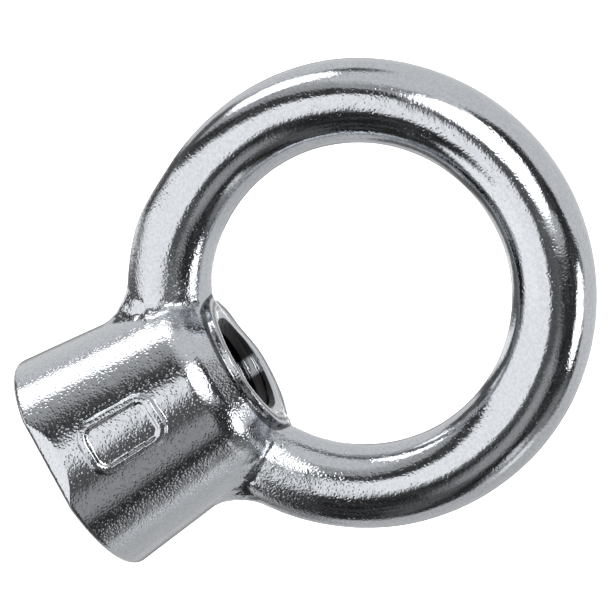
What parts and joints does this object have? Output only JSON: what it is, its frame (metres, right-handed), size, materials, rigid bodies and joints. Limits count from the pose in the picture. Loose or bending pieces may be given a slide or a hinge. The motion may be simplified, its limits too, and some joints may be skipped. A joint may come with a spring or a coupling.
{
  "type": "eye nut",
  "caption": "Polished cast stainless eye nut: a round bar ring on a short tapered barrel with an M8 thread through it, for boat and rigging hardware.",
  "frame": {"origin": "centre of the barrel's flat base face, on the thread's axis", "axes": "+Z along the thread's axis towards the ring; the ring lies in the XZ plane, and Y is square to it, with the raised tablet on the -Y side"},
  "size_m": [0.039, 0.0194, 0.0476],
  "materials": {
    "stainless_steel": "cast stainless steel, tumbled and polished, with a fine mottled grain, roughness about 0.2"
  },
  "bodies": {
    "root": {"eye_ring": "stainless_steel", "threaded_barrel": "stainless_steel"}
  },
  "joints": []
}
